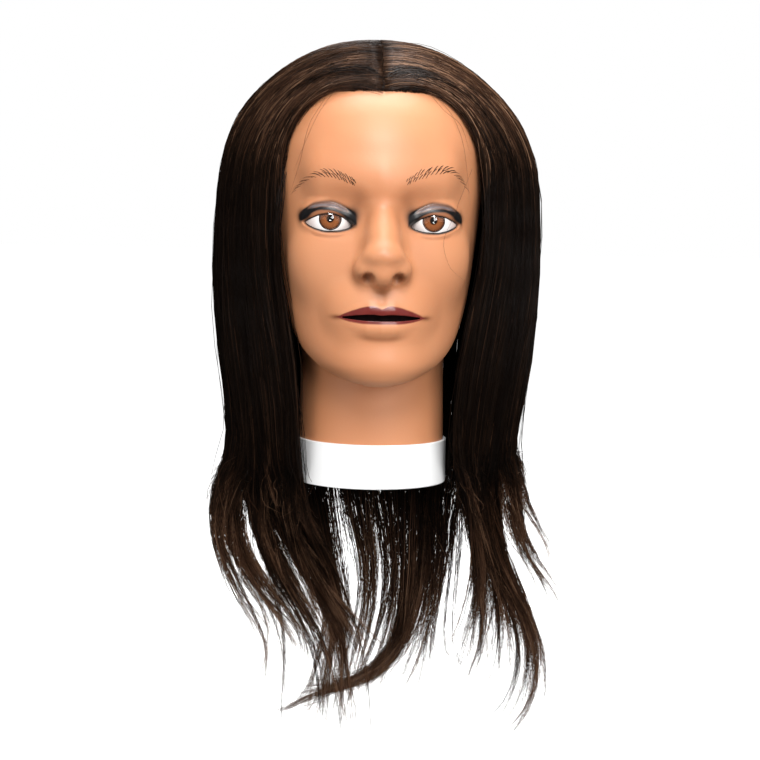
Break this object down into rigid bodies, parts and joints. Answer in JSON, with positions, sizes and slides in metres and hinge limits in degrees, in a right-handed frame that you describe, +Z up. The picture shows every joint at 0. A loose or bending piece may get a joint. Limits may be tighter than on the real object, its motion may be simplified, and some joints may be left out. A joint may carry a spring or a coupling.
{
  "type": "mannequin training head",
  "caption": "Hairdressing training head: vinyl face and neck over a foam core, set-in eyes, long rooted dark hair, and a white base cup with a clamp socket.",
  "frame": {"origin": "centre of the clamp socket's mouth, on the underside of the base cup", "axes": "+Z up through the crown, the face looks along -Y, and the head's own left side is at +X"},
  "size_m": [0.2321, 0.2288, 0.4774],
  "materials": {
    "skin": "soft matte vinyl with a faint sheen",
    "hair": "dark brown human hair with a soft sheen",
    "base_white": "moulded white plastic",
    "steel": "zinc plated",
    "latex": "cured latex",
    "foam": "rigid foam",
    "eye_white": "polished acrylic",
    "iris": "printed disc",
    "pupil": "black",
    "cornea": "clear acrylic"
  },
  "bodies": {
    "root": {"base_cup": "base_white", "socket_tube": "base_white", "socket_cap": "base_white", "base_screws": "steel", "vinyl_skin": "skin", "scalp_backing": "latex", "foam_core": "foam", "left_eye_dome": "eye_white", "left_iris": "iris", "left_pupil": "pupil", "left_cornea": "cornea", "right_eye_dome": "eye_white", "right_iris": "iris", "right_pupil": "pupil", "right_cornea": "cornea", "hair_front_left": "hair", "hair_front_right": "hair", "hair_side_left": "hair", "hair_side_right": "hair", "hair_back_left": "hair", "hair_back_right": "hair", "lock_right_outer": "hair", "lock_right_inner": "hair", "lock_middle": "hair", "lock_left_inner": "hair", "lock_left_outer": "hair", "lock_left_long": "hair"}
  },
  "joints": []
}
